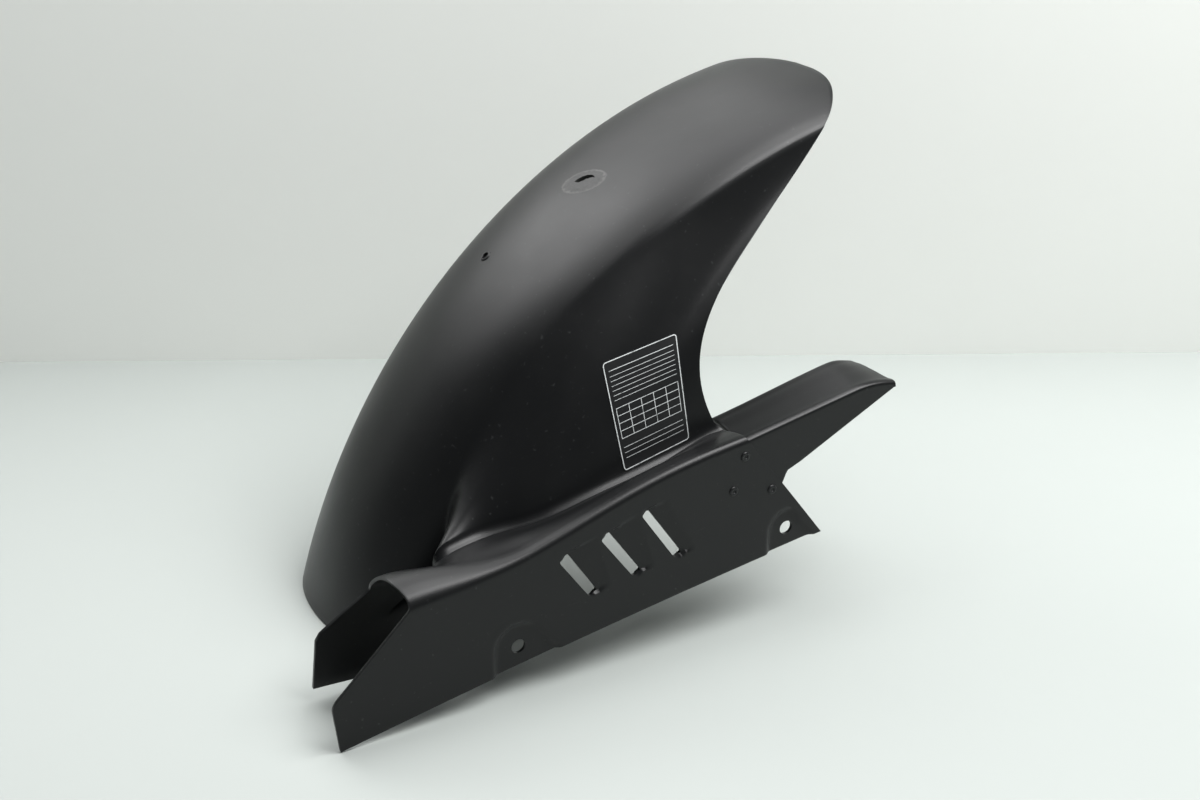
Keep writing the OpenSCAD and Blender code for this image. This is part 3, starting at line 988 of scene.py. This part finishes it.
def tail_form(u, v):
    """The tail's outside: u from front to rear, v from its low edge up and across its top."""
    x = TAIL_X + TAIL_RUN * u
    t = tail_top(x)
    w = TONGUE_W if x < TONGUE_END else TAIL_W
    e = smooth((x - ROUND_X) / ROUND_RUN)
    low = min(tail_low(x), t - 4.5)
    rise = 2.5 * smooth((x - 330) / 100)
    row = vectors(
        (x, LAP, low), (x, LAP, mix(low, t - 3.4, 0.5)), (x, LAP, t - 3.4), (x, LAP + 0.9, t - 1.2),
        (x, LAP + 3, t - 0.2), (x - 1.5 * e, LAP + 8, t), (x - 4 * e, mix(LAP, w, 0.5), t + rise * 0.5),
        (x - 8 * e, mix(LAP, w, 0.85), t + rise * 0.9), (x - 11 * e, w - 1, t + rise - 0.8),
        (x - 12 * e, w, t + rise - 4))
    for (v0, j0), (v1, j1) in zip(TAIL_ROWS, TAIL_ROWS[1:]):
        if v <= v1 + 1e-9:
            return across(row, min(9.0, j0 + (v - v0) / (v1 - v0) * (j1 - j0)), 2, 8)
    return row[-1]


tail = carried_grid("tail_shell", 96, 50, tail_form)
give_wall(tail, TAIL_WALL, TAIL_RIM)
cut(tail, [solid_from_outline("pin_cutter", circle(c, PIN_HOLE, 24), -3, 9) for c in PINS])

# %% [markdown]
# Three plastic push pins hold the tail. Each is a turned shape, so one half profile is spun round
# its axis: a low dished head outside, the shank through both sheets and a small flange behind.

# %% The pins
PIN_PROFILE = [(0.0, 0.25), (0.9, 0.25), (1.35, 0.35), (1.6, 0.95), (1.9, 1.1), (2.9, 1.1),
               (3.4, 0.85), (3.75, 0.4), (3.8, 0.0), (1.8, 0.0), (1.8, -4.9), (2.9, -4.9),
               (2.9, -5.9), (2.5, -6.0), (0.0, -6.0)]


def push_pin(x, z):
    """One pin in its hole, with its head outside."""
    shape = turned(PIN_PROFILE, 32, closed=False)
    facing_out = Matrix.Rotation(math.radians(90), 3, "X")
    bmesh.ops.rotate(shape, cent=(0, 0, 0), matrix=facing_out, verts=shape.verts)
    bmesh.ops.translate(shape, vec=place(x, 0, z), verts=shape.verts)
    return object_from("pin", shape)


def joined(name, pieces):
    """Several meshes as one piece."""
    shape = bmesh.new()
    for piece in pieces:
        shape.from_mesh(piece.data)
        bpy.data.objects.remove(piece)
    return object_from(name, shape)


pins = joined("pins", [push_pin(x, z) for x, z in PINS])
print("pins", len(pins.data.polygons), "faces")

# %% [markdown]
# On the near side wall is a thin black film with a silver border. It follows the wall, so a grid
# in the film's own plane, with round corners, is projected onto the arch, with its outside 0.35 mm
# off the wall. The grid's own coordinates are kept as a UV map, which the print follows.

# %% The film
FILM = vectors((247.5, 73, 206.6), (301.5, 58, 225.3), (298, 32, 150.5), (240.5, 30, 138.5))
FILM_W, FILM_H, FILM_CORNER = 57.0, 76.0, 3.0
FILM_LIFT, FILM_THICK = 0.35, 0.25
# The way in which the film is laid onto the wall, and how far off the wall it starts.
SIGHT = Vector((0.505, 0.76, -0.41)).normalized()
STAND_OFF = 60
UV_SPAN = 100
arch_tree = BVHTree.FromObject(arch, bpy.context.evaluated_depsgraph_get())


def film_flat(u, v):
    """A point of the flat film, in mm from its middle, with the corners rounded."""
    x, y = u * FILM_W, v * FILM_H
    r = FILM_CORNER
    over_x = max(0.0, abs(x) - (FILM_W / 2 - r)) / r
    over_y = max(0.0, abs(y) - (FILM_H / 2 - r)) / r
    if over_x and over_y:
        x = math.copysign(FILM_W / 2 - r + r * over_x * math.sqrt(1 - over_y**2 / 2), x)
        y = math.copysign(FILM_H / 2 - r + r * over_y * math.sqrt(1 - over_x**2 / 2), y)
    return x, y


def film_on_wall(x, y):
    """Where a point of the flat film lies on the near side wall."""
    u, v = x / FILM_W + 0.5, y / FILM_H + 0.5
    point = FILM[3].lerp(FILM[2], u).lerp(FILM[0].lerp(FILM[1], u), v)
    hit, normal, _, _ = arch_tree.ray_cast(place(*(point - SIGHT * STAND_OFF)), SIGHT)
    return hit + normal * FILM_LIFT * MM


shape = bmesh.new()
bmesh.ops.create_grid(shape, x_segments=44, y_segments=58, size=0.5)
layer = shape.loops.layers.uv.new("print")
flat_place = {vert: film_flat(vert.co.x, vert.co.y) for vert in shape.verts}
for vert, flat in flat_place.items():
    vert.co = film_on_wall(*flat)
for face in shape.faces:
    for loop in face.loops:
        x, y = flat_place[loop.vert]
        loop[layer].uv = (x / UV_SPAN + 0.5, y / UV_SPAN + 0.5)
inner = [v for v in shape.verts if not v.is_boundary]
bmesh.ops.smooth_vert(shape, verts=inner, factor=0.5, use_axis_x=True, use_axis_y=True, use_axis_z=True)
film = object_from("film_sheet", shape)
give_wall(film, FILM_THICK, 0)
print("film", len(film.data.polygons), "faces")

# %% [markdown]
# The film is printed vinyl: a black ground with a faint gloss, a silver border and a ruled table
# without any words. The print is drawn in the material from the film's own UV map, with a few bands
# and boxes, because such lines stay sharp at any distance where a picture of them would not. A
# line is 0.3 to 0.45 mm wide and the border 0.64 mm.

# %% The printed film
# The border runs this far out from the rectangle that the film's corners are rounded about.
BORDER_REACH, BORDER_HALF = 2.0, 0.32
MARGIN = 4
# Groups of ruled lines: how many, the first one's low edge, the step down to the next, and how wide.
TABLE = (5, 4.6, 5.2, 0.4)
RULES = [(1, 30.4, 0, 0.45), (6, 26.6, 3.3, 0.3), TABLE, (3, -22.4, 3.6, 0.3)]
CELLS = 5


def print_boxes():
    """The print's lines, each as its left, right, low and high edge in mm from the film's middle."""
    left, right = -FILM_W / 2 + MARGIN, FILM_W / 2 - MARGIN
    boxes = []
    for count, low, step, wide in RULES:
        boxes += [(left, right, low - step * n, low - step * n + wide) for n in range(count)]
    rows, low, step, wide = TABLE
    for n in range(CELLS + 1):
        x = left + n * (right - left) / CELLS
        boxes.append((x - wide / 2, x + wide / 2, low - (rows - 1) * step, low + wide))
    return boxes


def printed_film():
    """Black vinyl with its silver print."""
    material, tree = new_material("printed_vinyl")
    uv = add_node(tree, "UVMap", uv_map="print").outputs["UV"]
    here = add_node(tree, "TexCoord").outputs["Object"]
    part = add_node(tree, "SeparateXYZ", {"Vector": uv})
    x, y = [calc(tree, "MULTIPLY", calc(tree, "SUBTRACT", part.outputs[k], 0.5), UV_SPAN) for k in "XY"]

    def band(value, middle, half):
        """1 within half a width of a middle, and 0 outside it."""
        away = calc(tree, "ABSOLUTE", calc(tree, "SUBTRACT", value, middle))
        return calc(tree, "LESS_THAN", away, half)

    # How far out from that rectangle a point lies, negative inside it.
    ax = calc(tree, "SUBTRACT", calc(tree, "ABSOLUTE", x), FILM_W / 2 - FILM_CORNER)
    ay = calc(tree, "SUBTRACT", calc(tree, "ABSOLUTE", y), FILM_H / 2 - FILM_CORNER)
    px, py = calc(tree, "MAXIMUM", ax, 0.0), calc(tree, "MAXIMUM", ay, 0.0)
    squares = calc(tree, "ADD", calc(tree, "MULTIPLY", px, px), calc(tree, "MULTIPLY", py, py))
    inner_part = calc(tree, "MINIMUM", calc(tree, "MAXIMUM", ax, ay), 0.0)
    reach = calc(tree, "ADD", calc(tree, "SQRT", squares), inner_part)
    total = band(reach, BORDER_REACH, BORDER_HALF)
    for left, right, low, high in print_boxes():
        wide = band(x, (left + right) / 2, (right - left) / 2)
        tall = band(y, (low + high) / 2, (high - low) / 2)
        total = calc(tree, "MAXIMUM", total, calc(tree, "MULTIPLY", wide, tall))
    rubbed = noise_at(tree, here, Scale=220.0, Detail=3.0)
    ink = calc(tree, "MULTIPLY", total, ranged(tree, rubbed, 0.30, 0.42, 0.5, 1.0))
    colour = blend(tree, ink, linear("#121314"), linear("#D2D6D6"))
    gloss = ranged(tree, rubbed, 0.0, 1.0, 0.34, 0.40)
    ripple = bumps(tree, noise_at(tree, here, Scale=90.0, Detail=2.0), 0.06, 0.0006)
    surface(tree, Base_Color=colour, Roughness=gloss, Normal=ripple, IOR=1.5)
    return material


film_black = printed_film()
print("lines printed", len(print_boxes()))

# %% [markdown]
# The arch, the guard, the ring and the ear came out of one mould, so they become one piece. Each
# piece is shaded smooth with its creases kept and held to the box of the solids, and it takes the
# place of its solid in the frame.


# %% Join and finish every piece
def finish_piece(piece, material, node_name, crease=38):
    """Smooth shading with creases kept, the finish, and the solid that the piece stands for."""
    low, high = cad_box
    for vert in piece.data.vertices:
        vert.co = [min(high[i], max(low[i], vert.co[i])) for i in range(3)]
    for face in piece.data.polygons:
        face.use_smooth = True
    piece.data.set_sharp_from_angle(angle=math.radians(crease))
    piece.data.materials.clear()
    piece.data.materials.append(material)
    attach(piece, "root")
    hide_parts(node_name)
    print(piece.name, len(piece.data.polygons), "faces")


hugger = joined("hugger_shell", [arch, guard, ring, ear])
finish_piece(hugger, hugger_black, "hugger")
finish_piece(tail, hugger_black, "chain_guard_tail")
finish_piece(pins, pin_black, "tail_rivets", 50)
finish_piece(film, film_black, "label_film", 50)
